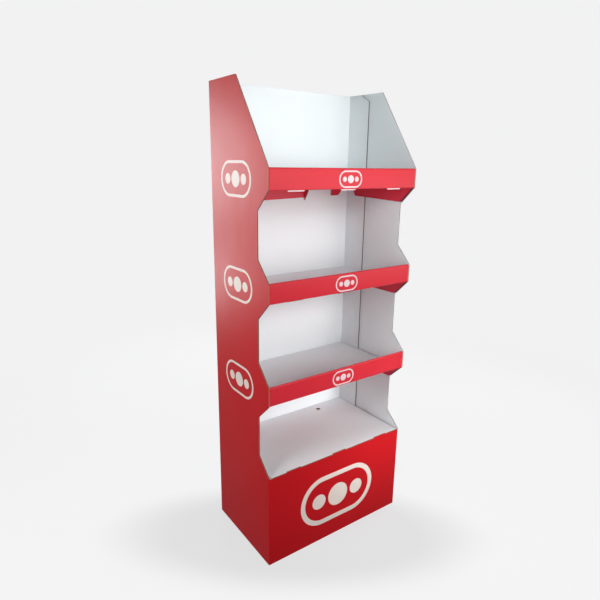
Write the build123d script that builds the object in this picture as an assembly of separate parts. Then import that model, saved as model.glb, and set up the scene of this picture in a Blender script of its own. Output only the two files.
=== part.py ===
from build123d import *
import os

# Free-standing display stand of corrugated board, in millimetres.
# The origin is at the middle of the footprint, on the floor. +Z is up, the open front faces -Y.
# Every part is one die-cut sheet, folded: a wrap that is both sides and the base front, a back
# panel with two wings, three shelves that each fold up into a lip, a base shelf and a brace.

# Overall sizes
WIDTH = 600.0
DEPTH = 357.0
HEIGHT = 1595.0

# The board and how it folds
BOARD = 3.8           # thickness of the corrugated board
CREASE_ROUND = 3.0    # outside radius of a right-angled fold
LAYER_GAP = 0.6       # air between the two layers of a rolled-over lip
LOOSE_FIT = 0.4       # clearance of a tab in its slot, and of an edge that only meets a face

# Heights of the bays and the shape of the sides
BASE_TOP = 340.0      # upper face of the base shelf, at the front
FIRST_LIP = 599.0     # bottom edge of the lowest lip
LIP_PITCH = 334.5     # from one lip to the next
LIP_HEIGHT = 64.5
CUT_DEPTH = 62.0      # how far each bay is cut back into the sides
LOWER_SLANT = 60.0    # drop of the slanted edge under a lip
UPPER_SLANT = 64.0    # rise of the slanted edge above a lip
BASE_SLANT = 57.0     # rise of the slanted edge above the base
BAY_CORNER = 8.0      # rounding where a slanted edge meets the upright one
TOP_SETBACK = 181.0   # how far the top corner of a side lies behind the front
TOP_CORNER = 6.0      # rounding of that corner

# The back panel's wings, glued inside the sides
WING_DEPTH = 111.5
WING_CHAMFER_DEPTH = 44.0
WING_CHAMFER_DROP = 26.0
WING_CORNER = 8.0

# Locking tabs of the lips and of the base front
TAB_WIDTH = 60.0
TAB_PITCH = 200.0
TAB_PLACES = (-TAB_PITCH, 0.0, TAB_PITCH)
TAB_CORNER = 2.5

# How far the tabs of each lip stand out under the shelf
TAB_REACH = {"lower_shelf": 1.0, "middle_shelf": 1.6, "top_shelf": 4.0}

# Lips and flanges of the shelves
LIP_END_GAP = 1.2     # between a lip's end and the side beside it
STRIP_BEHIND_LIP = 4.0
SIDE_FLANGE = 53.0    # how far a shelf's side flange hangs
LEFT_SETBACK = 15.0   # from the front to where the left flange starts
RIGHT_SETBACK = 2.5   # the same on the right
FLANGE_END_GAP = 30.0 # from a side flange's back end to the back panel
SIDE_CHAMFER = 24.0   # how far that end leans forward on its way down
BACK_FLANGE = 53.0    # how far the back flange hangs
CENTRE_LEFT = 120.0   # how far its middle part reaches to the left
CENTRE_RIGHT = 83.0   # and to the right
END_PART_INNER = 210.0
END_PART_OUTER = 269.0
END_CHAMFER = 24.0
GUSSET_REACH = 39.0   # the gusset's leg along the shelf
GUSSET_DROP = 63.0    # its leg down the back flange

# How far the left and right back corners of each shelf lie above its front
BACK_LIFT = {
    "lower_shelf": (-4.0, -4.0),
    "middle_shelf": (-4.0, -4.0),
    "top_shelf": (-7.0, 12.0),
    "base_shelf": (-4.0, -4.0),
}

# The finger hole in the base shelf
FINGER_HOLE_RADIUS = 9.0
FINGER_HOLE_PLACE = 141.0    # to the right of the middle
FINGER_HOLE_BACK = 46.0      # from the stand's back to the hole's middle

# The brace that stands inside the base
BRACE_HALF = 180.0
BRACE_SETBACK = 110.0        # from the front to its web
BRACE_END_GAP = 3.0

TOUCH = 0.01          # places nearer than this are the same place

# Places that follow from these
FRONT = -DEPTH / 2
BACK = DEPTH / 2
INNER_HALF = WIDTH / 2 - BOARD          # inner face of a side
SHELF_HALF = INNER_HALF - BOARD         # inner face of a wing, where a shelf is glued
LIP_HALF = INNER_HALF - LIP_END_GAP
SHELF_BACK = BACK - BOARD               # front face of the back panel
LIP_THICK = 2 * BOARD + LAYER_GAP
LIP_FRONT_ROUND = 0.6 * LIP_THICK       # a lip's top rolls back softly from its front
LIP_BACK_ROUND = 0.35 * LIP_THICK       # and turns down more sharply behind
FLANGE_ROOT = (BOARD - CREASE_ROUND) / 2    # how far a flange's root reaches up into the shelf
STRIP_END = FRONT + LIP_THICK + STRIP_BEHIND_LIP
LIP_BOTTOMS = {
    "lower_shelf": FIRST_LIP,
    "middle_shelf": FIRST_LIP + LIP_PITCH,
    "top_shelf": FIRST_LIP + 2 * LIP_PITCH,
}


def box_between(low, high):
    """A block from its lowest corner to its highest."""
    size = [b - a for a, b in zip(low, high)]
    return Pos(*low) * Box(*size, align=(Align.MIN, Align.MIN, Align.MIN))


def flat_outline(points, rounded=()):
    """A face from points in its own plane. rounded holds pairs of (corner points, radius)."""
    face = make_face(Polyline(*points, close=True))
    for corners, radius in rounded:
        chosen = [v for v in face.vertices()
                  if any(abs(v.X - c[0]) < TOUCH and abs(v.Y - c[1]) < TOUCH for c in corners)]
        face = fillet(chosen, radius)
    return face


def upright_sheet(outline, x, thickness=BOARD):
    """A sheet across X. The outline's first axis is the depth and its second the height."""
    return Pos(x, 0, 0) * extrude(Plane.YZ * outline, thickness)


def crosswise_sheet(points, y):
    """A sheet of board across Y, from points of width and height."""
    face = make_face(Polyline(*[(x, y, z) for x, z in points], close=True))
    return extrude(face, BOARD, dir=(0, 1, 0))


# The outer wrap


def side_outline():
    """A side panel: straight at the back, cut back at each bay, with a nose at each lip."""
    inner = FRONT + CUT_DEPTH
    top_front = (FRONT + TOP_SETBACK, HEIGHT)
    points = [(FRONT, 0), (BACK, 0), (BACK, HEIGHT), top_front]
    bay_corners = []
    for bottom in sorted(LIP_BOTTOMS.values(), reverse=True):
        top = bottom + LIP_HEIGHT
        if bay_corners:
            bay_corners.append((inner, top + UPPER_SLANT))
            points.append(bay_corners[-1])
        bay_corners.append((inner, bottom - LOWER_SLANT))
        points += [(FRONT, top), (FRONT, bottom), bay_corners[-1]]
    bay_corners.append((inner, BASE_TOP + BASE_SLANT))
    points += [bay_corners[-1], (FRONT, BASE_TOP)]
    return flat_outline(points, [(bay_corners, BAY_CORNER), ([top_front], TOP_CORNER)])


def make_outer_wrap():
    """Left side, base front and right side, folded from one sheet."""
    side = side_outline()
    wrap = upright_sheet(side, -WIDTH / 2) + upright_sheet(side, INNER_HALF)
    wall_top = BASE_TOP - BOARD
    wrap += box_between((-WIDTH / 2, FRONT, 0), (WIDTH / 2, FRONT + BOARD, wall_top))
    half = TAB_WIDTH / 2
    for x in TAB_PLACES:
        wrap += box_between((x - half, FRONT, wall_top), (x + half, FRONT + BOARD, BASE_TOP))
    folds = [e for e in wrap.edges().filter_by(Axis.Z)
             if abs(abs(e.center().X) - WIDTH / 2) < TOUCH and abs(e.center().Y - FRONT) < TOUCH
             and e.center().Z < BASE_TOP]
    return fillet(folds, CREASE_ROUND)


# The back panel


def make_back_panel():
    """The back, with a wing folded forward along each side."""
    wing_front = BACK - WING_DEPTH
    low_corner = (wing_front, HEIGHT - WING_CHAMFER_DROP)
    high_corner = (wing_front + WING_CHAMFER_DEPTH, HEIGHT)
    wing = flat_outline(
        [(wing_front, 0), (BACK, 0), (BACK, HEIGHT), high_corner, low_corner],
        [([low_corner, high_corner], WING_CORNER)])
    panel = box_between((-INNER_HALF, SHELF_BACK, 0), (INNER_HALF, BACK, HEIGHT))
    panel += upright_sheet(wing, -INNER_HALF) + upright_sheet(wing, SHELF_HALF)
    folds = [e for e in panel.edges().filter_by(Axis.Z)
             if abs(abs(e.center().X) - INNER_HALF) < TOUCH and abs(e.center().Y - BACK) < TOUCH]
    return fillet(folds, CREASE_ROUND)


# The shelves


def lift(name, x, y):
    """How far a shelf's underside lies above its front edge at a place."""
    left, right = BACK_LIFT[name]
    across = (x + SHELF_HALF) / (2 * SHELF_HALF)
    along = max(0.0, (y - STRIP_END) / (SHELF_BACK - STRIP_END))
    return along * (left + (right - left) * across)


def make_panel(name, bottom):
    """The shelf itself, behind the lip's fold. Its back corners may be lifted, which twists it.
    The edges where flanges turn down are rounded."""
    sections = []
    for y in (STRIP_END, SHELF_BACK):
        left = bottom + lift(name, -SHELF_HALF, y)
        right = bottom + lift(name, SHELF_HALF, y)
        sections.append(make_face(Polyline(
            (-SHELF_HALF, y, left), (SHELF_HALF, y, right),
            (SHELF_HALF, y, right + BOARD), (-SHELF_HALF, y, left + BOARD), close=True)))
    panel = loft(sections, ruled=True)
    folds = []
    for edge in panel.edges():
        middle = edge.center()
        at_top = middle.Z > bottom + lift(name, middle.X, middle.Y) + BOARD / 2
        if at_top and edge.length > BOARD and middle.Y > STRIP_END + BOARD:
            folds.append(edge)
    return fillet(folds, CREASE_ROUND)


def make_side_flange(name, bottom, side, front, slant):
    """A flange folded down along one side. Its back end leans forward on its way down.
    slant is the run of its front end for each unit of drop."""
    x = side * SHELF_HALF
    end = SHELF_BACK - FLANGE_END_GAP
    front_low = front + SIDE_FLANGE * slant

    def height(y, drop):
        return bottom + lift(name, x, y) - drop

    outline = flat_outline([
        (front_low, height(front_low, SIDE_FLANGE)),
        (end - SIDE_CHAMFER, height(end - SIDE_CHAMFER, SIDE_FLANGE)),
        (end, height(end, -FLANGE_ROOT)),
        (STRIP_END, height(STRIP_END, -FLANGE_ROOT)),
        (front, height(front, -FLANGE_ROOT)),
    ])
    return upright_sheet(outline, min(x, x - side * BOARD))


def make_back_flange(name, bottom):
    """The flange folded down along the back, in three parts."""
    def height(x, drop):
        return bottom + lift(name, x, SHELF_BACK) - drop

    y = SHELF_BACK - BOARD
    left, right = -CENTRE_LEFT, CENTRE_RIGHT
    flange = crosswise_sheet([
        (left, height(left, -FLANGE_ROOT)), (right, height(right, -FLANGE_ROOT)),
        (right, height(right, BACK_FLANGE)), (left, height(left, BACK_FLANGE))], y)
    for side in (-1, 1):
        inner, outer = side * END_PART_INNER, side * END_PART_OUTER
        cut = outer - side * END_CHAMFER
        flange += crosswise_sheet([
            (inner, height(inner, -FLANGE_ROOT)), (outer, height(outer, -FLANGE_ROOT)),
            (outer, height(outer, BACK_FLANGE - END_CHAMFER)), (cut, height(cut, BACK_FLANGE)),
            (inner, height(inner, BACK_FLANGE))], y)
    return flange


def make_gussets(name, bottom):
    """Triangles folded forward at both ends of the back flange's middle part, under the shelf."""
    back = SHELF_BACK - BOARD
    tip = back - GUSSET_REACH
    gussets = []
    for side, x in ((-1, -CENTRE_LEFT), (1, CENTRE_RIGHT)):
        outline = flat_outline([
            (tip, bottom + lift(name, x, tip) - LOOSE_FIT),
            (back, bottom + lift(name, x, back) - LOOSE_FIT),
            (back, bottom + lift(name, x, back) - GUSSET_DROP)])
        gussets.append(upright_sheet(outline, min(x, x - side * BOARD)))
    return gussets


def make_lip(bottom, tab_reach):
    """The lip: up from the fold, over the top and down again, with three tabs through the shelf."""
    top = bottom + LIP_HEIGHT
    shelf_top = bottom + BOARD
    inner_front = FRONT + BOARD + LAYER_GAP
    inner_back = FRONT + LIP_THICK
    section = flat_outline([
        (FRONT, bottom), (STRIP_END, bottom), (STRIP_END, shelf_top), (FRONT + BOARD, shelf_top),
        (FRONT + BOARD, top - BOARD), (inner_front, top - BOARD), (inner_front, shelf_top + LOOSE_FIT),
        (inner_back, shelf_top + LOOSE_FIT), (inner_back, top), (FRONT, top)],
        [([(FRONT, bottom)], CREASE_ROUND), ([(FRONT, top)], LIP_FRONT_ROUND),
         ([(inner_back, top)], LIP_BACK_ROUND)])
    lip = upright_sheet(section, -LIP_HALF, 2 * LIP_HALF)
    half = TAB_WIDTH / 2
    low = bottom - tab_reach
    for x in TAB_PLACES:
        lip -= box_between((x - half - LOOSE_FIT, inner_front - LOOSE_FIT, bottom - BOARD),
                           (x + half + LOOSE_FIT, inner_back + LOOSE_FIT, shelf_top + LOOSE_FIT))
        tab = box_between((x - half, inner_front, low), (x + half, inner_back, shelf_top + LOOSE_FIT))
        ends = [e for e in tab.edges().filter_by(Axis.Y) if e.center().Z < bottom]
        lip += fillet(ends, TAB_CORNER)
    return lip


def make_shelf(name):
    """A shelf with its lip and flanges, folded from one sheet."""
    bottom = LIP_BOTTOMS[name]
    shelf = make_panel(name, bottom) + make_back_flange(name, bottom)
    for side, setback in ((-1, LEFT_SETBACK), (1, RIGHT_SETBACK)):
        shelf += make_side_flange(name, bottom, side, FRONT + setback, CUT_DEPTH / LOWER_SLANT)
    shelf += make_lip(bottom, TAB_REACH[name])
    for gusset in make_gussets(name, bottom):
        shelf += gusset
    return shelf


def make_base_shelf():
    """The lowest shelf. It lies on the base front, whose tabs stand in three notches."""
    name = "base_shelf"
    bottom = BASE_TOP - BOARD
    shelf = make_panel(name, bottom) + make_back_flange(name, bottom)
    for side in (-1, 1):
        shelf += make_side_flange(name, bottom, side, FRONT + BOARD + LOOSE_FIT, 0)
    shelf += box_between((-SHELF_HALF, FRONT, bottom), (SHELF_HALF, STRIP_END, BASE_TOP))
    half = TAB_WIDTH / 2 + LOOSE_FIT
    for x in TAB_PLACES:
        shelf -= box_between((x - half, FRONT - BOARD, bottom - BOARD),
                             (x + half, FRONT + BOARD + LOOSE_FIT, BASE_TOP + BOARD))
    hole = Cylinder(FINGER_HOLE_RADIUS, 6 * BOARD)
    shelf -= Pos(FINGER_HOLE_PLACE, BACK - FINGER_HOLE_BACK, bottom) * hole
    return shelf


# The brace inside the base


def make_base_brace():
    """A sheet folded into a U that stands on the floor and carries the base shelf."""
    top = BASE_TOP - BOARD + min(BACK_LIFT["base_shelf"]) - LOOSE_FIT
    web = FRONT + BRACE_SETBACK
    end = SHELF_BACK - BOARD - BRACE_END_GAP
    inner = BRACE_HALF - BOARD
    brace = box_between((-BRACE_HALF, web, 0), (BRACE_HALF, end, top))
    brace -= box_between((-inner, web + BOARD, -BOARD), (inner, end + BOARD, top + BOARD))
    folds = [e for e in brace.edges().filter_by(Axis.Z)
             if abs(abs(e.center().X) - BRACE_HALF) < TOUCH and abs(e.center().Y - web) < TOUCH]
    return fillet(folds, CREASE_ROUND)


parts = {
    "outer_wrap": make_outer_wrap(),
    "back_panel": make_back_panel(),
    "base_shelf": make_base_shelf(),
    "base_brace": make_base_brace(),
}
for shelf_name in LIP_BOTTOMS:
    parts[shelf_name] = make_shelf(shelf_name)

os.makedirs("parts", exist_ok=True)
for part_name, solid in parts.items():
    export_step(solid, f"parts/{part_name}.step")
    print(part_name, round(solid.volume / 1000), "cm3")
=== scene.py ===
# %% [markdown]
# # A cardboard display stand, dressed for its portrait
#
# The stand is seven die-cut sheets of corrugated board. Their exact shapes come from the CAD frame.
# This lesson gives them the look of the real thing: red print on the outside, a white liner
# on the inside, and fluted paper at every cut edge. The lips' folds are paler, partly scuffed ink and
# partly a painted highlight, and some shade is painted too: along the shelves' folds, below the right
# wall's noses, on some cut edges and in the flutes' hollows. Then it sets up the floor, the light and
# the camera.

# %% Load the frame
import math

import bpy
from mathutils import Matrix, Vector


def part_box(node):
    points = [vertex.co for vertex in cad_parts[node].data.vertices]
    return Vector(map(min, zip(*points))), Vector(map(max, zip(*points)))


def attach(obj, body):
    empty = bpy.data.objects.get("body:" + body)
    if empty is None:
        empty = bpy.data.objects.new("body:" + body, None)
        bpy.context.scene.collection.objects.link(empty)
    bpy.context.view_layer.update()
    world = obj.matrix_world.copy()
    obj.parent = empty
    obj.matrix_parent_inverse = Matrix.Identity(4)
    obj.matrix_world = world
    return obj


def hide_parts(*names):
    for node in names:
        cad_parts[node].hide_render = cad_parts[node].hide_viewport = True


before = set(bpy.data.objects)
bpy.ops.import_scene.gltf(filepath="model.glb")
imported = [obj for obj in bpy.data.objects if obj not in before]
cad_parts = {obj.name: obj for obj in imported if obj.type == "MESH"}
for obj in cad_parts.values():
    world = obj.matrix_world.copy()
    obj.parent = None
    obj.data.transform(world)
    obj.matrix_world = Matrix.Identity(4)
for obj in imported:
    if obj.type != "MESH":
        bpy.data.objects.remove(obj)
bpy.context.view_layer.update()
print("CAD nodes:", ", ".join(sorted(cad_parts)))

# %% [markdown]
# ## Sizes read from the frame
#
# Nothing is typed twice. The places that the finishes need, such as the outer face of a side or
# the top of a lip, are read from the boxes of the CAD nodes. Only what a box can't tell, such as
# the height of a lip, is a named value here. Further down, faces are picked by where they lie and
# which way they look, and the last values say how exactly that is meant.

# %% Places on the stand, in metres
MM = 0.001
wrap_low, wrap_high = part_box("outer_wrap")
HALF_WIDTH = wrap_high.x
FRONT = wrap_low.y
BACK = wrap_high.y
INNER_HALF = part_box("back_panel")[1].x
BOARD = HALF_WIDTH - INNER_HALF
WING_INNER = INNER_HALF - BOARD
BASE_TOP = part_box("base_shelf")[1].z
LIP_HEIGHT = 64.5 * MM
LIP_THICK = 8.2 * MM             # two layers of board and the air between them
SHELVES = ("lower_shelf", "middle_shelf", "top_shelf")
LIP_TOPS = [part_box(name)[1].z for name in SHELVES]
LIP_BOTTOMS = [top - LIP_HEIGHT for top in LIP_TOPS]
NEAR = 0.15 * MM                 # a face as near as this to a place lies on it
SQUARE = 0.9                     # a normal with this much of an axis looks straight along it
ACROSS = 0.1                     # and one with less than this looks across it
TURNED = 0.02                    # a normal with this much of an axis is turned that way at all
print(f"board {BOARD / MM:.2f} mm thick, lips at {[round(z, 3) for z in LIP_BOTTOMS]} m")

# %% [markdown]
# ## Small helpers for shader nodes
#
# A material is a small network. Wiring it by hand in the editor is a matter of dragging noodles.
# In code, a few helpers keep it short: one adds a node and fills its inputs with values or links,
# one adds a Math node and returns its result, so that a formula reads like a formula, and others
# blend values and colours.


# %% Helpers: add a node and calculate a value
def feed(tree, socket, value):
    """Gives an input a link to another node's output, or a plain value."""
    if isinstance(value, bpy.types.NodeSocket):
        tree.links.new(value, socket)
    else:
        socket.default_value = value


def add_node(tree, kind, inputs=None, **options):
    """Adds a node, sets its options, and feeds its inputs by name."""
    made = tree.nodes.new(kind)
    for name, value in options.items():
        setattr(made, name, value)
    for name, value in (inputs or {}).items():
        feed(tree, made.inputs[name], value)
    return made


def calc(tree, operation, *values):
    """The output of a Math node, fed with numbers or sockets."""
    made = tree.nodes.new("ShaderNodeMath")
    made.operation = operation
    for socket, value in zip(made.inputs, values):
        feed(tree, socket, value)
    return made.outputs[0]


def blend_value(tree, value, low, high, to_low=0.0, to_high=1.0):
    """Maps low to high onto to_low to to_high, smoothly, and holds the ends."""
    made = add_node(tree, "ShaderNodeMapRange", {
        "Value": value, "From Min": low, "From Max": high, "To Min": to_low, "To Max": to_high},
        interpolation_type="SMOOTHSTEP")
    return made.outputs["Result"]


print("number helpers ready")


# %% Helpers: mix and convert colours
def mix_colours(tree, share, first, second):
    """A colour between two others."""
    made = add_node(tree, "ShaderNodeMix", data_type="RGBA")
    for name, value in (("Factor_Float", share), ("A_Color", first), ("B_Color", second)):
        feed(tree, next(s for s in made.inputs if s.identifier == name), value)
    return next(s for s in made.outputs if s.identifier == "Result_Color")


def paint(red, green, blue):
    """A colour as a paint chart gives it, 0 to 255, as the linear values that a shader wants."""
    chart = [channel / 255 for channel in (red, green, blue)]
    return tuple(c / 12.92 if c <= 0.04045 else ((c + 0.055) / 1.055) ** 2.4 for c in chart) + (1.0,)


print("colour helpers ready")


# %% Helpers: make and use a node group
def new_group(name, inputs, outputs):
    """A shader node group with number or vector sockets."""
    tree = bpy.data.node_groups.new(name, "ShaderNodeTree")
    kinds = {"number": "NodeSocketFloat", "vector": "NodeSocketVector"}
    for socket, kind in inputs.items():
        tree.interface.new_socket(name=socket, in_out="INPUT", socket_type=kinds[kind])
    for socket, kind in outputs.items():
        tree.interface.new_socket(name=socket, in_out="OUTPUT", socket_type=kinds[kind])
    return tree, tree.nodes.new("NodeGroupInput").outputs, tree.nodes.new("NodeGroupOutput").inputs


def use_group(tree, group, inputs):
    """Places a node group in a material and returns its outputs."""
    return add_node(tree, "ShaderNodeGroup", inputs, node_tree=group).outputs


print("group helpers ready")

# %% [markdown]
# ## The paper's surface
#
# Corrugated board is never quite flat. The flutes inside print through the liner as fine
# parallel ridges about 7 mm apart, called washboarding. The liner itself is felted fibre, so its
# tone wanders a little, both in tiny flecks and in broad clouds. All the board faces share this,
# so it is one node group, and each material gives it the direction across the flutes.

# %% Node group: paper surface
FLUTE_PITCH = 7.2 * MM
FLECK_SCALE = 700.0          # single fibres, a millimetre or two long
CLOUD_SCALE = 4.5            # clouds about 20 cm wide
FLECK_TONE = 0.05            # how much each of the three changes the tone
CLOUD_TONE = 0.08
RIDGE_TONE = 0.012
FLECK_HEIGHT = 0.010         # and how high each of them stands, in millimetres
CLOUD_HEIGHT = 2.0
RIDGE_HEIGHT = 0.030

paper_surface, inside, outside = new_group(
    "paper_surface",
    {"Position": "vector", "Across Flutes": "number", "Washboard": "number"},
    {"Tone": "number", "Height": "number", "Fleck": "number"})
flecks = add_node(paper_surface, "ShaderNodeTexNoise", {
    "Vector": inside["Position"], "Scale": FLECK_SCALE, "Detail": 2.0, "Roughness": 0.6})
clouds = add_node(paper_surface, "ShaderNodeTexNoise", {
    "Vector": inside["Position"], "Scale": CLOUD_SCALE, "Detail": 2.0, "Roughness": 0.5})
turns = calc(paper_surface, "MULTIPLY", inside["Across Flutes"], 2 * math.pi / FLUTE_PITCH)
ridge = calc(paper_surface, "MULTIPLY", calc(paper_surface, "SINE", turns), inside["Washboard"])
cloud_tone = calc(paper_surface, "MULTIPLY_ADD", clouds.outputs["Fac"], CLOUD_TONE, -CLOUD_TONE / 2)
tone = calc(paper_surface, "MULTIPLY_ADD", flecks.outputs["Fac"], FLECK_TONE, 1 - FLECK_TONE / 2)
tone = calc(paper_surface, "ADD", tone, cloud_tone)
tone = calc(paper_surface, "MULTIPLY_ADD", ridge, RIDGE_TONE, tone)
rough_paper = calc(paper_surface, "MULTIPLY", flecks.outputs["Fac"], FLECK_HEIGHT)
bow = calc(paper_surface, "MULTIPLY", clouds.outputs["Fac"], CLOUD_HEIGHT)
height = calc(paper_surface, "MULTIPLY_ADD", ridge, RIDGE_HEIGHT, rough_paper)
height = calc(paper_surface, "ADD", height, bow)
paper_surface.links.new(tone, outside["Tone"])
paper_surface.links.new(height, outside["Height"])
paper_surface.links.new(flecks.outputs["Fac"], outside["Fleck"])
print("group:", paper_surface.name)

# %% [markdown]
# ## The cut edges
#
# Where the die has cut the board, its build shows: two liners, and between them a wave of
# brown paper with hollows at its sides, drawn dark as painted shade inside the open flutes. Cut across
# the flutes it is a row of waves. Cut along a flute it is a plain line. One formula draws both: the
# middle paper sits at a place in the thickness that swings like a sine with the distance across the flutes.

# %% Node group: fluted cut edge
SWING = 0.36                 # of the middle paper to each side, as a share of the thickness
PAPER_EDGE = (0.07, 0.13)    # shares of the thickness over which the middle paper ends
LINER_EDGE = (0.36, 0.41)    # and those over which a liner starts, counted from the middle
FIBRE_SCALE = 900.0
EDGE_RELIEF = 0.5            # millimetres from the hollows up to the paper

fluted_edge, inside, outside = new_group(
    "fluted_edge",
    {"Through": "number", "Across Flutes": "number", "Position": "vector"},
    {"Paper": "number", "Height": "number", "Fleck": "number"})
turns = calc(fluted_edge, "MULTIPLY", inside["Across Flutes"], 2 * math.pi / FLUTE_PITCH)
middle = calc(fluted_edge, "MULTIPLY_ADD", calc(fluted_edge, "SINE", turns), SWING, 0.5)
off_middle = calc(fluted_edge, "ABSOLUTE", calc(fluted_edge, "SUBTRACT", inside["Through"], middle))
off_centre = calc(fluted_edge, "ABSOLUTE", calc(fluted_edge, "SUBTRACT", inside["Through"], 0.5))
wave_paper = blend_value(fluted_edge, off_middle, *PAPER_EDGE, 1.0, 0.0)
liners = blend_value(fluted_edge, off_centre, *LINER_EDGE)
fibres = add_node(fluted_edge, "ShaderNodeTexNoise", {
    "Vector": inside["Position"], "Scale": FIBRE_SCALE, "Detail": 2.0})
paper = calc(fluted_edge, "MAXIMUM", wave_paper, liners)
fluted_edge.links.new(paper, outside["Paper"])
fluted_edge.links.new(calc(fluted_edge, "MULTIPLY", paper, EDGE_RELIEF), outside["Height"])
fluted_edge.links.new(fibres.outputs["Fac"], outside["Fleck"])
print("group:", fluted_edge.name)

# %% [markdown]
# ## The printed badge
#
# The print on such a stand is a big emblem in white on the red ground. This one is a plain
# capsule, drawn as an outline, with three discs in it. A shader can draw it without any picture:
# the distance from the capsule's middle line, less its radius, is zero on the outline, and each
# disc is a distance from its own centre. The group gives a mask, 1 where the ink is white.

# %% Node group: capsule badge
DISC_SHARES = ((-0.52, 0.30), (0.0, 0.46), (0.52, 0.30))    # place and radius of each disc
INK_SOFTNESS = 0.25 * MM

capsule_badge, inside, outside = new_group(
    "capsule_badge",
    {"Across": "number", "Up": "number", "Centre Across": "number", "Centre Up": "number",
     "Half Width": "number", "Half Height": "number", "Line": "number"},
    {"Mask": "number"})
from_left = calc(capsule_badge, "SUBTRACT", inside["Across"], inside["Centre Across"])
from_middle = calc(capsule_badge, "SUBTRACT", inside["Up"], inside["Centre Up"])
straight = calc(capsule_badge, "SUBTRACT", inside["Half Width"], inside["Half Height"])
beyond = calc(capsule_badge, "MAXIMUM", calc(
    capsule_badge, "SUBTRACT", calc(capsule_badge, "ABSOLUTE", from_left), straight), 0.0)


def distance(tree, across, up):
    """How far a point is from the origin of a plane."""
    return calc(tree, "SQRT", calc(tree, "ADD", calc(tree, "MULTIPLY", across, across),
                                   calc(tree, "MULTIPLY", up, up)))


half_line = calc(capsule_badge, "MULTIPLY", inside["Line"], 0.5)
rim = calc(capsule_badge, "SUBTRACT", distance(capsule_badge, beyond, from_middle), inside["Half Height"])
rim = calc(capsule_badge, "ABSOLUTE", calc(capsule_badge, "ADD", rim, half_line))
rim = calc(capsule_badge, "SUBTRACT", rim, half_line)
mask = blend_value(capsule_badge, rim, -INK_SOFTNESS, INK_SOFTNESS, 1.0, 0.0)
for place, radius in DISC_SHARES:
    disc_across = calc(capsule_badge, "MULTIPLY_ADD", inside["Half Width"], -place, from_left)
    disc_radius = calc(capsule_badge, "MULTIPLY", inside["Half Height"], radius)
    gap = calc(capsule_badge, "SUBTRACT", distance(capsule_badge, disc_across, from_middle), disc_radius)
    disc = blend_value(capsule_badge, gap, -INK_SOFTNESS, INK_SOFTNESS, 1.0, 0.0)
    mask = calc(capsule_badge, "MAXIMUM", mask, disc)
capsule_badge.links.new(mask, outside["Mask"])
print("group:", capsule_badge.name, "with", len(DISC_SHARES), "discs")

# %% [markdown]
# ## The finishes
#
# Each finish is a Principled BSDF. The print is ink under a thin varnish, so it has a soft gloss,
# and it is a little paler along the lips' top folds, partly where a fold has stretched it and partly as
# a painted highlight of the rounded fold. The liner is matt white paper, with a grey line of painted
# shade where a shelf is folded down beside the wall, and with a strip of painted shade in dark red below
# each nose of the right wall.
#
# A cut edge is raw paper, and not every cut looks alike. Most are brown, with painted shade in the
# hollows of the flutes. On the noses the red ink has rubbed onto them, and on the right side they are
# greyer. On the front ends of the shelves' flanges they carry painted shade in dark red-brown, and below
# the left noses and on the back panel's wings painted shade in dark grey. One recipe makes them all.
#
# Every finish reads its place from Object coordinates, because every piece stands at the origin
# with its place in its mesh.

# %% Colours, as a paint chart gives them
RED_INK = paint(200, 27, 34)
LIP_INK = paint(207, 34, 49)
# The red print tinted paler and cooler: a painted tint of the cool light in the shade under the shelves.
UNDER_INK_SHADE_TINT = paint(214, 46, 68)
WHITE_INK = paint(243, 229, 221)
LIP_WHITE = paint(229, 208, 212)
# Paler ink for the lips' top folds: partly ink stretched by the fold, partly a painted highlight of the
# rounded fold.
STRETCHED_INK_AND_HIGHLIGHT = paint(216, 96, 104)
WHITE_LINER = paint(233, 239, 241)
EDGE_PAPER = paint(186, 142, 116)
# The hollow colours are painted shade inside the open flutes of a cut edge.
EDGE_HOLLOW = paint(108, 76, 62)
RUBBED_PAPER = paint(238, 126, 108)     # where ink has rubbed onto a cut edge
RUBBED_HOLLOW = paint(188, 88, 74)
PALE_PAPER = paint(182, 176, 174)       # a clean cut
PALE_HOLLOW = paint(140, 134, 132)
SHADED_PAPER = paint(122, 110, 108)     # painted shade, for a cut in a corner and for one that looks down
SHADED_HOLLOW = paint(74, 66, 64)
SHADED_RED_PAPER = paint(120, 56, 58)        # painted shade in dark red-brown, on the flanges' front cut edges
SHADED_RED_HOLLOW = paint(78, 36, 40)
# Painted shade: the grey of the gap between a shelf's fold and the wall.
CREASE_SHADE = paint(132, 116, 121)
# Painted shade in dark red, for the strip of the right wall below each nose.
PAINTED_NOSE_SHADE = paint(130, 52, 66)
BROWN_LINER = paint(176, 140, 100)
print("ink, liner and edge colours mixed")


# %% A start for every board finish
def start_material(name):
    """A material with its shader, and the place on the object as a vector and as three numbers."""
    material = bpy.data.materials.new(name)
    material.use_nodes = True
    tree = material.node_tree
    shader = tree.nodes["Principled BSDF"]
    place = tree.nodes.new("ShaderNodeTexCoord").outputs["Object"]
    split = add_node(tree, "ShaderNodeSeparateXYZ", {"Vector": place}).outputs
    return material, tree, shader, place, split


def emboss(tree, shader, height):
    """Turns a height in millimetres into a bumped normal."""
    bump = add_node(tree, "ShaderNodeBump", {"Height": height, "Strength": 1.0, "Distance": 1.0 * MM})
    tree.links.new(bump.outputs["Normal"], shader.inputs["Normal"])


def tint(tree, colour, tone):
    """A colour made lighter or darker by a tone near 1."""
    made = add_node(tree, "ShaderNodeVectorMath", {"Scale": tone}, operation="SCALE")
    feed(tree, made.inputs[0], colour if isinstance(colour, bpy.types.NodeSocket) else colour[:3])
    return made.outputs["Vector"]


print("start of a finish ready")


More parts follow.
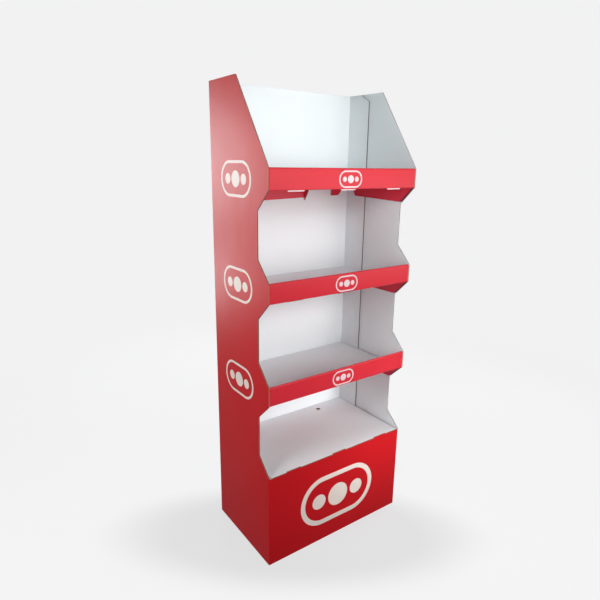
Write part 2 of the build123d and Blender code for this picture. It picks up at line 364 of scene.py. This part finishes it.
# %% Printed finish
PRINT_ROUGHNESS = 0.42
ROUGHNESS_SPREAD = 0.10       # how much it changes from fleck to fleck
SIDE_GLOSS = 0.04
LIP_GLOSS = 0.25
LIP_WASHBOARD = 2.2           # the lips are narrow and rolled tight, so their flutes show more
FOLD_WIDTH = 3.0 * MM
FOLD_WEAR_AND_HIGHLIGHT = 0.55              # share of the paler fold colour right on a fold: stretched ink and painted highlight
FOLD_MARK_FLECKS = (0.30, 0.62)    # only the higher flecks of the paper take the paler fold colour


def make_print(name, flutes, ink, gloss, badges=(), badge_axis="X", white=WHITE_INK, folds=(), washboard=1.0):
    """Varnished ink, with badges in white. flutes names the axis across the flutes, and washboard is how
    much they show. badges are (centre across, centre up, half width, half height, line). folds are
    (axis, place) of the folds along which the ink is paler, partly stretched and partly a painted highlight."""
    material, tree, shader, place, split = start_material(name)
    surface = use_group(tree, paper_surface, {
        "Position": place, "Across Flutes": split[flutes], "Washboard": washboard})
    colour = ink
    for across, up, half_width, half_height, line in badges:
        badge = use_group(tree, capsule_badge, {
            "Across": split[badge_axis], "Up": split["Z"], "Centre Across": across, "Centre Up": up,
            "Half Width": half_width, "Half Height": half_height, "Line": line})
        colour = mix_colours(tree, badge["Mask"], colour, white)
    # Along each fold the ink turns paler: stretched ink and a painted highlight.
    for axis, where in folds:
        off = calc(tree, "ABSOLUTE", calc(tree, "SUBTRACT", split[axis], where))
        worn_and_lit = blend_value(tree, off, 0.0, FOLD_WIDTH, FOLD_WEAR_AND_HIGHLIGHT, 0.0)
        worn_and_lit = calc(tree, "MULTIPLY", worn_and_lit, blend_value(tree, surface["Fleck"], *FOLD_MARK_FLECKS))
        colour = mix_colours(tree, worn_and_lit, colour, STRETCHED_INK_AND_HIGHLIGHT)
    tree.links.new(tint(tree, colour, surface["Tone"]), shader.inputs["Base Color"])
    smoothest = PRINT_ROUGHNESS - ROUGHNESS_SPREAD / 2
    roughness = calc(tree, "MULTIPLY_ADD", surface["Fleck"], ROUGHNESS_SPREAD, smoothest)
    tree.links.new(roughness, shader.inputs["Roughness"])
    shader.inputs["Specular IOR Level"].default_value = gloss
    emboss(tree, shader, surface["Height"])
    return material


print(f"print: roughness {PRINT_ROUGHNESS}, gloss {SIDE_GLOSS} on the sides and {LIP_GLOSS} on the lips")

# %% [markdown]
# ## Where the badges sit
#
# There is one badge on the base, a small one on each lip, and three on each side, one beside each
# lip. Their heights are counted from the lips, so that they stay in place if the lips move.

# %% The printed materials
BASE_BADGE = (0.0, 164.5 * MM, 168 * MM, 98.5 * MM, 19 * MM)
LIP_BADGE_ACROSS = 5 * MM
LIP_BADGE_BELOW = 1.75 * MM      # the lip's middle
LIP_BADGE_HALF = (47 * MM, 26.5 * MM)
LIP_BADGE_LINE = 4.7 * MM
SIDE_BADGE_BEHIND = 190.5 * MM
SIDE_BADGE_ABOVE = 27.5 * MM
SIDE_BADGE_HALF = (95.5 * MM, 55.5 * MM)
SIDE_BADGE_LINE = 8.5 * MM

lip_badges = [(LIP_BADGE_ACROSS, bottom + LIP_HEIGHT / 2 - LIP_BADGE_BELOW, *LIP_BADGE_HALF, LIP_BADGE_LINE)
              for bottom in LIP_BOTTOMS]
side_badges = [(FRONT + SIDE_BADGE_BEHIND, bottom + SIDE_BADGE_ABOVE, *SIDE_BADGE_HALF, SIDE_BADGE_LINE)
               for bottom in LIP_BOTTOMS]
print_side = make_print("print_side", "Y", RED_INK, SIDE_GLOSS, side_badges, "Y")
print_front = make_print("print_front", "X", RED_INK, SIDE_GLOSS, [BASE_BADGE])
print_lip = make_print("print_lip", "Z", LIP_INK, LIP_GLOSS, lip_badges, white=LIP_WHITE,
                       folds=[("Z", top) for top in LIP_TOPS], washboard=LIP_WASHBOARD)
# The ink under a shelf and on its flanges is the red print with a painted tint of cool light in shade.
print_under = make_print("print_under", "Y", UNDER_INK_SHADE_TINT, LIP_GLOSS)
print("printed:", print_side.name, print_front.name, print_lip.name, print_under.name)

# %% [markdown]
# ## Bare liners and cut edges
#
# What isn't printed is bare paper. A liner is the paper surface in one colour, and the marks on it
# are fields of colour: the painted shade beside a crease is a band at a fixed distance from the stand's
# middle, and the painted shade below a nose is a box of places. A cut edge only needs to know how deep
# in the board a point lies, which is its distance from the face where that sheet starts, counted in
# thicknesses.


# %% White and brown liners
LINER_ROUGHNESS = 0.72
BROWN_ROUGHNESS = 0.8
LINER_GLOSS = 0.3
CREASE_WIDTH = 3.4 * MM
CREASE_CORE = 0.4             # share of that width that is grey all over
NOSE_DROP = 52 * MM           # how far the painted shade below a nose reaches down from the lip
NOSE_DEPTH = 70 * MM          # and how far back


def make_liner(name, flutes, colour, roughness=LINER_ROUGHNESS, crease=None, shade_under=()):
    """Bare paper: matt, with the flutes showing through. crease is a distance from the middle at which
    the board is scored and folded, and a grey band of painted shade lies along it. shade_under are heights
    below which a strip of painted shade in dark red lies under a nose."""
    material, tree, shader, place, split = start_material(name)
    surface = use_group(tree, paper_surface, {
        "Position": place, "Across Flutes": split[flutes], "Washboard": 1.0})
    # A grey band of painted shade along the fold, where shade falls in the gap beside the wall.
    if crease is not None:
        off = calc(tree, "ABSOLUTE", calc(tree, "SUBTRACT", calc(tree, "ABSOLUTE", split["X"]), crease))
        crease_shade = blend_value(tree, off, CREASE_CORE * CREASE_WIDTH, CREASE_WIDTH, 1.0, 0.0)
        colour = mix_colours(tree, crease_shade, colour, CREASE_SHADE)
    # A strip of painted shade in dark red below each nose.
    for height in shade_under:
        below = calc(tree, "SUBTRACT", height, split["Z"])
        nose_shade = calc(tree, "LESS_THAN", below, NOSE_DROP)
        nose_shade = calc(tree, "MULTIPLY", calc(tree, "GREATER_THAN", below, 0.0), nose_shade)
        nose_shade = calc(tree, "MULTIPLY", nose_shade, calc(tree, "LESS_THAN", split["Y"], FRONT + NOSE_DEPTH))
        colour = mix_colours(tree, nose_shade, colour, PAINTED_NOSE_SHADE)
    tree.links.new(tint(tree, colour, surface["Tone"]), shader.inputs["Base Color"])
    shader.inputs["Roughness"].default_value = roughness
    shader.inputs["Specular IOR Level"].default_value = LINER_GLOSS
    emboss(tree, shader, surface["Height"])
    return material


liner_across_x = make_liner("white_liner_back", "X", WHITE_LINER)
liner_across_y = make_liner("white_liner_side", "Y", WHITE_LINER)
# The shelves' liner carries a band of painted shade along each fold.
shelf_liner = make_liner("white_liner_shelf", "Y", WHITE_LINER, crease=WING_INNER)
# The right wall's liner carries a strip of painted shade in dark red below each nose, where shade falls.
right_wall_liner = make_liner("white_liner_right", "Y", WHITE_LINER, shade_under=LIP_BOTTOMS)
tab_liner = make_liner("white_liner_tabs", "Z", LIP_WHITE)
brown_liner = make_liner("brown_liner", "X", BROWN_LINER, BROWN_ROUGHNESS)
print("liners:", liner_across_x.name, liner_across_y.name, shelf_liner.name, right_wall_liner.name,
      tab_liner.name, brown_liner.name)


# %% Cut edges
EDGE_ROUGHNESS = 0.85
EDGE_GLOSS = 0.2
EDGE_TONE = 0.3               # how much the fibres change the tone
MANY_LAYERS = 10.0            # added before whole layers are dropped, so that none counts as negative


def make_cut_edge(name, through, start, flutes, both_sides=False, colours=(EDGE_HOLLOW, EDGE_PAPER)):
    """Raw edge of a sheet whose thickness runs along the through axis from start. both_sides counts
    the distance from the stand's middle, for sheets that come as a left and a right one. colours
    are those of the hollows and of the paper."""
    material, tree, shader, place, split = start_material(name)
    depth = calc(tree, "ABSOLUTE", split[through]) if both_sides else split[through]
    share = calc(tree, "DIVIDE", calc(tree, "SUBTRACT", depth, start), BOARD)
    share = calc(tree, "FRACT", calc(tree, "ADD", share, MANY_LAYERS))
    edge = use_group(tree, fluted_edge, {"Through": share, "Across Flutes": split[flutes], "Position": place})
    colour = mix_colours(tree, edge["Paper"], *colours)
    tone = calc(tree, "MULTIPLY_ADD", edge["Fleck"], EDGE_TONE, 1 - EDGE_TONE / 2)
    tree.links.new(tint(tree, colour, tone), shader.inputs["Base Color"])
    shader.inputs["Roughness"].default_value = EDGE_ROUGHNESS
    shader.inputs["Specular IOR Level"].default_value = EDGE_GLOSS
    emboss(tree, shader, edge["Height"])
    return material


edge_side = make_cut_edge("cut_edge_side", "X", INNER_HALF, "Y", both_sides=True)
edge_nose = make_cut_edge("cut_edge_nose", "X", INNER_HALF, "Z", True, (RUBBED_HOLLOW, RUBBED_PAPER))
edge_clean = make_cut_edge("cut_edge_clean", "X", INNER_HALF, "Y", True, (PALE_HOLLOW, PALE_PAPER))
edge_shaded = make_cut_edge("cut_edge_shaded", "X", INNER_HALF, "Y", True, (SHADED_HOLLOW, SHADED_PAPER))
# Painted shade in dark red-brown, for the flanges' front cut edges.
edge_shaded_red = make_cut_edge("cut_edge_shaded_red", "X", INNER_HALF, "Y", True, (SHADED_RED_HOLLOW, SHADED_RED_PAPER))
edge_front = make_cut_edge("cut_edge_front", "Y", FRONT, "X")
edge_back = make_cut_edge("cut_edge_back", "Y", BACK, "X")
edge_lip = make_cut_edge("cut_edge_lip", "Y", FRONT, "Z")
edge_level = make_cut_edge("cut_edge_level", "Z", BASE_TOP, "Y")
print("edges:", ", ".join(edge.name for edge in (
    edge_side, edge_nose, edge_clean, edge_shaded, edge_shaded_red, edge_front, edge_back, edge_lip, edge_level)))

# %% [markdown]
# ## From CAD node to finished sheet
#
# A CAD node arrives as loose triangles and stays untouched. Each sheet is made from a copy: its
# doubles are merged and its flat triangles dissolved, so that every flat of the board is one
# face again. Then the faces get their finishes. This is how one would do it by hand: pick faces
# in edit mode, choose the material slot, assign. Here the picking is a rule on each face's place
# and normal. Last, the sheet is attached to the stand, and its CAD node is hidden.


# %% Copy, merge and dissolve
MERGE_DISTANCE = 0.002 * MM
FLAT_ANGLE = math.radians(0.05)
SMOOTH_ANGLE = math.radians(30)


def select_only(piece):
    """Makes one object the only selected and the active one."""
    bpy.ops.object.select_all(action="DESELECT")
    piece.select_set(True)
    bpy.context.view_layer.objects.active = piece


def make_sheet(node):
    """A clean mesh from a copy of a CAD node, with one face for each flat of the board."""
    sheet = bpy.data.objects.new(f"{node}_sheet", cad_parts[node].data.copy())
    bpy.context.scene.collection.objects.link(sheet)
    select_only(sheet)
    sheet.data.materials.clear()
    bpy.ops.object.mode_set(mode="EDIT")
    bpy.ops.mesh.customdata_custom_splitnormals_clear()
    bpy.ops.mesh.select_all(action="SELECT")
    bpy.ops.mesh.remove_doubles(threshold=MERGE_DISTANCE)
    bpy.ops.mesh.dissolve_limited(angle_limit=FLAT_ANGLE)
    bpy.ops.object.mode_set(mode="OBJECT")
    return sheet


def finish_faces(sheet, rules):
    """Gives each face the material of the first rule that its centre and normal meet."""
    select_only(sheet)
    left = set(range(len(sheet.data.polygons)))
    for slot, (material, rule) in enumerate(rules):
        sheet.data.materials.append(material)
        chosen = {i for i in left if rule(sheet.data.polygons[i].center, sheet.data.polygons[i].normal)}
        left -= chosen
        for polygon in sheet.data.polygons:
            polygon.select = polygon.index in chosen
        bpy.ops.object.mode_set(mode="EDIT")
        bpy.ops.mesh.select_mode(type="FACE")
        sheet.active_material_index = slot
        bpy.ops.object.material_slot_assign()
        bpy.ops.object.mode_set(mode="OBJECT")
        print(f"  {sheet.name}: {material.name} on {len(chosen)} faces")
    bpy.ops.object.shade_smooth_by_angle(angle=SMOOTH_ANGLE)


def hand_over(sheet, node):
    """The sheet rides on the stand and stands in for its node, which is hidden."""
    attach(sheet, "root")
    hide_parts(node)


# %% [markdown]
# ## The outer wrap
#
# One sheet makes the left side, the base front and the right side. Its outside is printed and its
# inside is white. What is neither is a cut edge. It could be modelled flat and folded up, but the
# CAD node already has its shape, so it only needs its finishes, face by face. The rules are tried
# from first to last, so the last one can simply be: any face.

# %% Rules for the wrap's faces
NOSE_SLANT = 0.3              # the edge below a nose looks down by more than this


def any_face(centre, normal):
    return True


def wrap_side_print(centre, normal):
    return abs(centre.x) > HALF_WIDTH - NEAR and abs(normal.x) > SQUARE


def wrap_front_print(centre, normal):
    on_front = centre.y < FRONT + BOARD - NEAR and centre.z < BASE_TOP
    looks_out = normal.y < -TURNED and abs(normal.z) < ACROSS
    on_fold = abs(centre.x) > INNER_HALF and abs(normal.x) > TURNED
    return on_front and looks_out and (abs(centre.x) < INNER_HALF or on_fold)


def wrap_liner_side(centre, normal):
    return abs(abs(centre.x) - INNER_HALF) < NEAR and abs(normal.x) > SQUARE


def wrap_liner_front(centre, normal):
    return normal.y > SQUARE and abs(centre.y - FRONT - BOARD) < NEAR


def right_wall(centre, normal):
    return wrap_liner_side(centre, normal) and centre.x > 0


def beside_the_front(centre, normal):
    return abs(centre.x) < INNER_HALF


def nose_edge(centre, normal):
    return normal.y < -SQUARE and centre.z > BASE_TOP and centre.y < FRONT + NEAR


# Below the left noses the cut edge looks down and gets painted shade in dark grey.
def under_nose(centre, normal):
    return normal.z < -NOSE_SLANT and centre.x < 0 and centre.z > BASE_TOP


def right_edge(centre, normal):
    return centre.x > 0 and centre.z > BASE_TOP


print("rules for the wrap ready")

# %% Outer wrap
outer_wrap = make_sheet("outer_wrap")
finish_faces(outer_wrap, [
    (print_side, wrap_side_print), (print_front, wrap_front_print), (right_wall_liner, right_wall),
    (liner_across_y, wrap_liner_side), (liner_across_x, wrap_liner_front), (edge_front, beside_the_front),
    (edge_nose, nose_edge), (edge_shaded, under_nose), (edge_clean, right_edge), (edge_side, any_face)])
hand_over(outer_wrap, "outer_wrap")

# %% [markdown]
# ## The back panel
#
# White on both sides. Its two wings are folded forward and glued inside the sides, where they
# stiffen the corners, so only their front edges show the paper between the liners, darkened with
# painted shade because they lie in a corner. The flutes run upright all over, so a wing needs its own liner,
# which counts them from front to back.

# %% Back panel


def on_wing_face(centre, normal):
    return abs(normal.x) > SQUARE and centre.y < BACK


def back_liner(centre, normal):
    return abs(normal.z) < ACROSS and centre.y > BACK - BOARD - NEAR and abs(centre.x) < INNER_HALF + NEAR


# The wings' front edges lie in a corner and get painted shade in dark grey.
def on_wing(centre, normal):
    return abs(centre.x) > WING_INNER - NEAR


back_panel = make_sheet("back_panel")
finish_faces(back_panel, [
    (liner_across_y, on_wing_face), (liner_across_x, back_liner),
    (edge_shaded, on_wing), (edge_back, any_face)])
hand_over(back_panel, "back_panel")

# %% [markdown]
# ## The three shelves
#
# A shelf is white on top and red underneath. The red side is the one that shows on the lip, front
# and back, because the lip is folded up and rolled over, and on the faces of the flanges that
# look into the bay. The tabs of the lip show their white side to the front.
#
# The three shelves are alike but for their heights, so one function writes the rules for a shelf
# from the height of its lip. The distances below say how far the shelf may sink behind its lip and
# how far its tabs hang down, so that the flanges, which hang much lower, aren't taken for them.

# %% Rules for a shelf's faces
GUSSET_OUTSIDES = (-120.0 * MM, 83.0 * MM)
GUSSET_INSIDES = (GUSSET_OUTSIDES[0] + BOARD, GUSSET_OUTSIDES[1] - BOARD)
SHELF_HALF = WING_INNER
TOP_SAG = 6 * MM              # a shelf's top sinks by less than this below its lip's bottom
UNDERSIDE_SAG = 16 * MM       # and its underside by less than this
TAB_DROP = 4.6 * MM           # the tabs hang by less than this
FOLD_DEPTH = 1 * MM           # nearer than this to the front, the fold is still the lip's
LIP_FRONT_DEPTH = BOARD * 0.9    # and nearer than this, a face that looks forward is the lip's front
FLANGE_SLANT = 0.2            # a flange's front end looks forward by more than this


def make_shelf_rules(bottom):
    """The rules for one shelf, which depend on the height of its lip."""
    top = bottom + LIP_HEIGHT
    lip_back = FRONT + LIP_THICK

    def lip_end(centre, normal):
        return abs(normal.x) > SQUARE and abs(centre.x) > SHELF_HALF + NEAR

    def lip_ink(centre, normal):
        lip_front = normal.y < -TURNED and centre.y < FRONT + LIP_FRONT_DEPTH
        lip_top = normal.z > TURNED and centre.z > top - BOARD
        outside_lip = centre.y < lip_back + NEAR and (lip_front or lip_top)
        behind_lip = normal.y > SQUARE and abs(centre.y - lip_back) < NEAR
        return abs(normal.x) < ACROSS and (outside_lip or behind_lip)

    def tab_front(centre, normal):
        return centre.z < bottom and centre.y < lip_back and normal.y < -SQUARE

    def shelf_top(centre, normal):
        return normal.z > TURNED and centre.z > bottom - TOP_SAG and centre.y > lip_back - NEAR

    def on_gusset(centre, normal, places):
        return abs(normal.x) > SQUARE and any(abs(centre.x - x) < NEAR for x in places) and centre.z < bottom

    def flange_outside(centre, normal):
        side = abs(normal.x) > SQUARE and abs(abs(centre.x) - SHELF_HALF) < NEAR
        gusset = on_gusset(centre, normal, GUSSET_OUTSIDES)
        behind = normal.y > SQUARE and centre.y > BACK - BOARD - NEAR
        return side or behind or gusset

    def ink_side(centre, normal):
        side = abs(normal.x) > SQUARE and abs(abs(centre.x) - SHELF_HALF + BOARD) < NEAR
        gusset = on_gusset(centre, normal, GUSSET_INSIDES)
        back = normal.y < -SQUARE and abs(centre.y - BACK + 2 * BOARD) < NEAR
        between_flanges = abs(centre.x) < SHELF_HALF - BOARD + NEAR
        behind_tabs = centre.y > lip_back and centre.z > bottom - UNDERSIDE_SAG
        by_the_lip = centre.y > FRONT + FOLD_DEPTH and centre.z > bottom - TAB_DROP
        under = normal.z < -SQUARE and between_flanges and (behind_tabs or by_the_lip)
        return side or gusset or back or under

    def side_edge(centre, normal):
        return abs(centre.x) > SHELF_HALF - BOARD - NEAR

    # A flange's front cut edge gets painted shade in dark red-brown.
    def front_edge(centre, normal):
        return side_edge(centre, normal) and normal.y < -FLANGE_SLANT and centre.z < bottom

    return [(edge_lip, lip_end), (tab_liner, tab_front), (print_lip, lip_ink), (shelf_liner, shelf_top),
            (liner_across_y, flange_outside), (print_under, ink_side), (edge_shaded_red, front_edge),
            (edge_side, side_edge), (edge_lip, any_face)]


print("rules for a shelf ready")

# %% Shelves
for name, bottom in zip(SHELVES, LIP_BOTTOMS):
    shelf = make_sheet(name)
    finish_faces(shelf, make_shelf_rules(bottom))
    hand_over(shelf, name)

# %% [markdown]
# ## The base shelf and the brace
#
# The base shelf is white all over, as it carries no print. Its top shows the same grey bands of painted
# shade along its folds as the other shelves. The brace inside the base is plain brown board, because nobody
# sees it.

# %% Rules for the base shelf's and the brace's faces
BASE_SAG = 9 * MM             # the base shelf's underside lies less than this below its highest place
BRACE_END = 20 * MM           # as near as this to the back, the brace only has cut edges


def creased_face(centre, normal):
    return normal.z > TURNED and centre.z > BASE_TOP - BASE_SAG


def white_face(centre, normal):
    level = abs(normal.z) > SQUARE and centre.z > BASE_TOP - BASE_SAG
    on_flange = any(abs(abs(centre.x) - x) < NEAR for x in (SHELF_HALF, SHELF_HALF - BOARD))
    on_gusset = any(abs(centre.x - x) < NEAR for x in GUSSET_OUTSIDES + GUSSET_INSIDES)
    sideways = abs(normal.x) > SQUARE and (on_flange or on_gusset)
    behind = abs(normal.y) > SQUARE and centre.y > BACK - 2 * BOARD - NEAR and abs(normal.z) < ACROSS
    return level or sideways or behind


def level_edge(centre, normal):
    return centre.z > BASE_TOP - BASE_SAG


def brace_face(centre, normal):
    return abs(normal.z) < SQUARE and not (normal.y > SQUARE and centre.y > BACK - BRACE_END)


print("rules for the base shelf and the brace ready")

# %% Base shelf and brace
base_shelf = make_sheet("base_shelf")
finish_faces(base_shelf, [
    (shelf_liner, creased_face), (liner_across_y, white_face),
    (edge_level, level_edge), (edge_side, any_face)])
hand_over(base_shelf, "base_shelf")
base_brace = make_sheet("base_brace")
finish_faces(base_brace, [(brown_liner, brace_face), (edge_front, any_face)])
hand_over(base_brace, "base_brace")

# %% [markdown]
# ## Floor and background
#
# The floor is pale and plain, and it melts into a background of the same tone. The pale tone that
# the camera sees comes from Light Path, and so it throws no extra light on the stand. The floor's
# own diffuse part keeps the stand's soft shadow. Round the foot lies a wider pool of half shade, as
# big overhead studio cloths leave it. No lamp of this set hangs there, so the floor's finish draws
# it: an oval with soft edges, found by scaling the distance from its middle on two turned axes.

# %% Floor and world
PALE = paint(242, 242, 243)
FLOOR_SIZE = 16.0
FLOOR_GLOW = 0.94            # share of the pale tone that doesn't depend on the lamps
FLOOR_GREY = 0.08            # how much of the light on the floor comes back
FLOOR_FADE = (1.3, 2.9)      # metres from the stand over which the floor melts away
POOL_MIDDLE = (-0.05, -0.15)  # of the half shade, on its own long and short axis
POOL_HALF = (0.625, 0.255)
POOL_TURN = math.radians(35.6)
POOL_EDGE = (0.72, 1.25)     # shares of the half size between which the shade fades
POOL_DEPTH = 0.17
AMBIENT = 0.08

bpy.ops.object.select_all(action="DESELECT")
bpy.ops.mesh.primitive_plane_add(size=FLOOR_SIZE, location=(0, 0, 0))
floor = bpy.context.active_object
floor.name = "studio_floor"


def seen_rays(tree):
    """1 for the rays that see the background as it is: from the camera, in gloss and through glass."""
    path = tree.nodes.new("ShaderNodeLightPath").outputs
    seen = calc(tree, "MAXIMUM", path["Is Camera Ray"], path["Is Glossy Ray"])
    return calc(tree, "MAXIMUM", seen, path["Is Transmission Ray"])


floor_finish = bpy.data.materials.new("studio_floor")
floor_finish.use_nodes = True
tree = floor_finish.node_tree
tree.nodes.remove(tree.nodes["Principled BSDF"])
place = tree.nodes.new("ShaderNodeTexCoord").outputs["Object"]
grey = add_node(tree, "ShaderNodeBsdfDiffuse", {"Color": (FLOOR_GREY, FLOOR_GREY, FLOOR_GREY, 1.0)})
turned = add_node(tree, "ShaderNodeMapping", {"Vector": place, "Rotation": (0.0, 0.0, POOL_TURN)})
across, along, _ = add_node(tree, "ShaderNodeSeparateXYZ", {"Vector": turned.outputs["Vector"]}).outputs
across = calc(tree, "DIVIDE", calc(tree, "SUBTRACT", across, POOL_MIDDLE[0]), POOL_HALF[0])
along = calc(tree, "DIVIDE", calc(tree, "SUBTRACT", along, POOL_MIDDLE[1]), POOL_HALF[1])
off = distance(tree, across, along)
pool = blend_value(tree, off, *POOL_EDGE, FLOOR_GLOW * (1 - POOL_DEPTH), FLOOR_GLOW)
glow = add_node(tree, "ShaderNodeEmission", {
    "Color": PALE, "Strength": calc(tree, "MULTIPLY", seen_rays(tree), pool)})
lit = add_node(tree, "ShaderNodeAddShader")
tree.links.new(grey.outputs[0], lit.inputs[0])
tree.links.new(glow.outputs[0], lit.inputs[1])
far = add_node(tree, "ShaderNodeVectorMath", {0: place}, operation="LENGTH").outputs["Value"]
melt = add_node(tree, "ShaderNodeMixShader", {"Fac": blend_value(tree, far, *FLOOR_FADE)})
tree.links.new(lit.outputs[0], melt.inputs[1])
tree.links.new(tree.nodes.new("ShaderNodeBsdfTransparent").outputs[0], melt.inputs[2])
tree.links.new(melt.outputs[0], tree.nodes["Material Output"].inputs["Surface"])
floor.data.materials.append(floor_finish)

world = bpy.data.worlds.new("studio")
bpy.context.scene.world = world
world.use_nodes = True
tree = world.node_tree
sky = tree.nodes["Background"]
around = mix_colours(tree, seen_rays(tree), (AMBIENT, AMBIENT, AMBIENT, 1.0), PALE)
tree.links.new(around, sky.inputs["Color"])
print("floor and world ready")

# %% [markdown]
# ## Light
#
# All the light is soft, from boxes of different sizes:
#
# - A key box and a left box stand in front at the height of the shelves and look into the bays. So
#   the lips and the back panel are bright, and the shelves' tops stay in half shade. They are near,
#   so their light falls off towards the floor.
# - A right box and a small low one brighten the right end of the lips and of the base.
# - Two narrow beams reach into the top bay and into the bay over the base.
# - A side box lights the left side evenly.
# - Two rim boxes stand far behind on the left and graze that side. They only show in the varnish,
#   as a pale sheen over its upper half, which is how one tells that the print is varnished.
# - A back box and a right side box light the sides that the photo doesn't show.


# %% Soft boxes
def soft_box(name, place, aim, size, power, spread=180, only_gloss=False):
    """A square area lamp at a place, turned to look at a point. spread is its beam in degrees. With
    only_gloss it shows in the varnish and lights nothing else."""
    turn = (Vector(aim) - Vector(place)).to_track_quat("-Z", "Y").to_euler()
    bpy.ops.object.light_add(type="AREA", location=place, rotation=turn)
    lamp = bpy.context.active_object
    lamp.name = name
    lamp.data.shape = "SQUARE"
    lamp.data.size = size
    lamp.data.energy = power
    lamp.data.spread = math.radians(spread)
    lamp.visible_camera = False
    lamp.visible_diffuse = not only_gloss
    print(f"{name}: {power} W, {size} m wide")


soft_box("key_box", (0.6, -1.9, 1.35), (0.1, 0.0, 1.1), 0.8, 11.2)
soft_box("left_box", (-0.3, -1.8, 1.4), (0.1, 0.0, 1.2), 0.6, 10.2)
soft_box("right_box", (0.88, -0.98, 1.1), (0.1, 0.0, 0.9), 0.6, 3.8)
soft_box("low_right_box", (0.45, -1.3, 0.45), (0.29, -0.19, 0.4), 0.3, 0.35, spread=40)
soft_box("top_bay_box", (-0.45, -1.55, 1.9), (0.07, 0.13, 1.5), 0.5, 0.92, spread=40)
soft_box("base_bay_box", (-0.1, -1.8, 0.8), (0.2, 0.1, 0.42), 0.5, 0.6, spread=50)
soft_box("side_box", (-2.0, -0.25, 1.1), (-0.3, 0.0, 0.9), 0.8, 20)
soft_box("rim_box", (-1.55, 3.3, 1.35), (-0.3, 0.0, 1.2), 1.0, 46, spread=110, only_gloss=True)
soft_box("low_rim_box", (-1.3, 3.1, 0.3), (-0.3, 0.0, 1.1), 0.5, 10, spread=90, only_gloss=True)
soft_box("back_box", (0.9, 2.6, 1.4), (0.0, 0.2, 0.9), 1.0, 48)
soft_box("right_side_box", (2.1, 0.2, 1.2), (0.3, 0.0, 0.8), 0.8, 16)

# %% [markdown]
# ## Camera
#
# The camera stands where the photographer stood: in front, well to the left, a little above the
# upper shelves, looking down by fifteen degrees. It is rolled by less than one degree.

# %% Camera
CAMERA_PLACE = (-1.0673, -1.4127, 1.3413)
CAMERA_TURN = math.radians(35.575)       # from straight ahead towards the right
CAMERA_DOWN = math.radians(15.019)
CAMERA_ROLL = math.radians(0.793)
CAMERA_LENS = 30.331                     # millimetres
SENSOR_WIDTH = 36.0                      # millimetres

bpy.ops.object.camera_add(location=CAMERA_PLACE)
camera = bpy.context.active_object
camera.name = "photo_camera"
turn = (Matrix.Rotation(-CAMERA_TURN, 3, "Z") @ Matrix.Rotation(math.pi / 2 - CAMERA_DOWN, 3, "X")
        @ Matrix.Rotation(CAMERA_ROLL, 3, "Z"))
camera.rotation_euler = turn.to_euler()
camera.data.lens = CAMERA_LENS
camera.data.sensor_width = SENSOR_WIDTH
bpy.context.scene.camera = camera
bpy.context.scene.view_settings.view_transform = "Standard"
print("camera at", CAMERA_PLACE)
